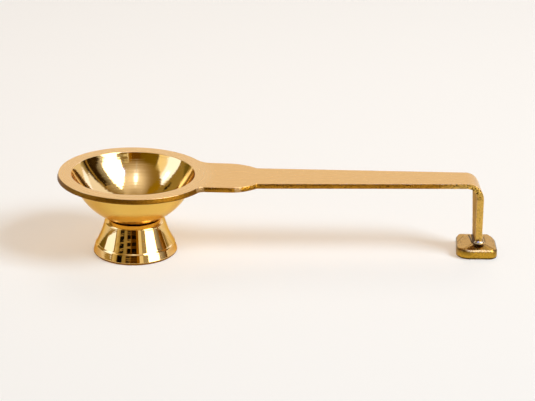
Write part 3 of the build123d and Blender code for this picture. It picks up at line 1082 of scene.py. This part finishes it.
def makeSky():
    world = bpy.data.worlds.new("sky")
    world.use_nodes = True
    tree = world.node_tree
    tree.nodes.clear()
    light = addNode(tree, "ShaderNodeLightPath").outputs
    seen = light["Is Camera Ray"]
    # the last keeps it from the floor that sees it in the brass
    for other, how in (("Is Glossy Ray", "MAXIMUM"), ("Is Transmission Ray", "MAXIMUM"), ("Diffuse Depth", "SUBTRACT")):
        seen = addNode(tree, "ShaderNodeMath", {0: seen, 1: light[other]}, operation=how, use_clamp=True).outputs[0]
    colour = linear(studio["sky"])
    lit = addNode(tree, "ShaderNodeBackground", {"Color": colour, "Strength": studio["skyLight"]})
    shown = addNode(tree, "ShaderNodeBackground", {"Color": colour, "Strength": 1})
    mix = addNode(tree, "ShaderNodeMixShader", {0: seen, 1: lit.outputs[0], 2: shown.outputs[0]})
    addNode(tree, "ShaderNodeOutputWorld", {"Surface": mix.outputs[0]})
    scene.world = world


def rgb(hexColour):
    return Vector(linear(hexColour)[:3])


# One card as a grid of glowing points
def addCard(bm, glow, along, card):
    (left, right), atLeft, atRight, firstColour, lastColour, brightness, distance = card
    first, last = rgb(firstColour), rgb(lastColour)
    centre = Vector((bowlX + along * mm, 0, cardHeight))
    columns, rowSteps = math.ceil((right - left) / 4), 8
    rows = []
    for j in range(rowSteps + 1):
        row = []
        for i in range(columns + 1):
            t = i / columns
            low, high = (a + (b - a) * t for a, b in zip(atLeft, atRight))
            way = direction(left + (right - left) * t, low + (high - low) * j / rowSteps)
            vert = bm.verts.new(centre + way * distance)
            vert[glow] = (*(first.lerp(last, t) * brightness), 1)
            row.append(vert)
        rows.append(row)
    skin(bm, rows, False)


# The ceiling, whose light fades away from the hanging lamp
def addCeiling(bm, glow):
    c = ceiling
    lampAzimuth, lampElevation = c["lamp"]
    left, right, down, over = c["reach"]
    wide, tall = c["lampSize"]
    dim, lit, bulb = (rgb(c[name]) for name in ("dim", "lit", "lampColour"))
    centre = Vector((bowlX, 0, cardHeight))
    step = 2                        # degrees
    rows = []
    for elevation in range(c["elevations"][0], c["elevations"][1] + 1, step):
        row = []
        narrow = math.cos(math.radians(elevation)) / math.cos(math.radians(lampElevation))
        up = elevation - lampElevation
        for azimuth in range(c["azimuths"][0], c["azimuths"][1] + 1, step):
            away = azimuth - lampAzimuth
            across = away * narrow
            near = math.exp(-(across / (left if across < 0 else right)) ** 2 - (up / (down if up < 0 else over)) ** 2)
            core = math.exp(-(away / wide) ** 2 - (up / tall) ** 2)
            vert = bm.verts.new(centre + direction(azimuth, elevation) * c["distance"])
            vert[glow] = (*(dim.lerp(lit * c["litLight"], near) + bulb * c["lampLight"] * core), 1)
            row.append(vert)
        rows.append(row)
    skin(bm, rows, False)


# Glowing cards round the lamp, which only reflections see
def makeSurroundings():
    s = shelves
    cards = [(0, card) for card in surroundings] + [(legReach, padLamp)]
    boards = [(sides, heights, s["colour"]) for sides in s["azimuths"] for heights in s["elevations"]]
    boards += [(sides, heights, s["boxColour"]) for sides in s["boxAzimuths"] for heights in s["boxElevations"]]
    for sides, heights, colour in boards:
        cards.append((0, (sides, heights, heights, colour, colour, 1, s["distance"])))
    bm = bmesh.new()
    glow = bm.verts.layers.float_color.new("glow")
    for along, card in cards:
        addCard(bm, glow, along, card)
    addCeiling(bm, glow)
    mesh = bpy.data.meshes.new("surroundings")
    bm.to_mesh(mesh)
    bm.free()
    material, tree = newMaterial("glowingCards")
    colour = addNode(tree, "ShaderNodeAttribute", attribute_name="glow").outputs["Color"]
    # the floor gets almost none of their light back from the brass
    matt = addNode(tree, "ShaderNodeLightPath").outputs["Diffuse Depth"]
    shader = addNode(tree, "ShaderNodeEmission", {"Color": colour, "Strength": spread(tree, matt, 0, 1, 1, 0.05)})
    addNode(tree, "ShaderNodeOutputMaterial", {"Surface": shader.outputs[0]})
    material.cycles.emission_sampling = "NONE"
    room = addToStage("surroundings", mesh, material)
    room.visible_camera = room.visible_diffuse = room.visible_shadow = False


# A lamp for the floor that no reflection shows: its brightness is given as it is seen, where 1 is white
def makeLamp(name, place, target, size, colour, brightness):
    lamp = bpy.data.lights.new(name, "AREA")
    lamp.shape = "RECTANGLE"
    lamp.size, lamp.size_y = size
    lamp.energy = brightness * math.pi * size[0] * size[1]
    lamp.color = linear(colour)[:3]
    holder = bpy.data.objects.new(name, lamp)
    holder.location = place
    holder.rotation_euler = (target - place).to_track_quat("-Z", "Y").to_euler()
    holder.visible_camera = holder.visible_glossy = False
    scene.collection.objects.link(holder)
    return lamp


def makeLamps():
    s = studio
    target = Vector((bowlX, 0, 0.03))
    for name, colour in (("window", "window"), ("back", "fill")):
        azimuth, elevation, distance = s[name + "Place"]
        place = target + direction(azimuth, elevation) * distance
        makeLamp(name, place, target, s[name + "Size"], s[colour], s[name + "Light"])
    above = Vector(s["fillPlace"])
    fill = makeLamp("fill", above, above - Vector((0, 0, 1)), [s["fillSize"]] * 2, s["fill"], s["fillLight"])
    fill.use_shadow = False                     # stands for light from all round


makeFloor()
makeSky()
makeSurroundings()
makeLamps()
print("studio set")


# Camera at the photograph's view: long lens, a little above the lamp
view = {
    "lens": 141.3,
    "elevation": 21.106,
    "roll": 0.173,
    "yaw": -0.337,
    "aim": (61.23, 24.737),         # along the handle from the bowl's axis, and over the floor
    "distance": 966.4,
}


def makeCamera():
    data = bpy.data.cameras.new("camera")
    data.sensor_width = 36
    data.lens = view["lens"]
    data.clip_start, data.clip_end = 0.01, 50
    camera = bpy.data.objects.new("camera", data)
    e, roll = math.radians(view["elevation"]), math.radians(view["roll"])
    ahead = Vector((0, math.cos(e), -math.sin(e)))
    right = Vector((1, 0, 0))
    up = right.cross(ahead)
    right, up = right * math.cos(roll) + up * math.sin(roll), up * math.cos(roll) - right * math.sin(roll)
    place = Vector((view["aim"][0], 0, view["aim"][1])) - ahead * view["distance"]
    stand = Matrix((right, up, -ahead)).transposed().to_4x4()
    stand.translation = place * mm
    turned = Matrix.Rotation(math.radians(-view["yaw"]), 4, "Z")
    camera.matrix_world = Matrix.Translation((bowlX, 0, 0)) @ turned @ stand
    scene.collection.objects.link(camera)
    scene.camera = camera


makeCamera()
scene.view_settings.view_transform = "Standard"
print("camera set")
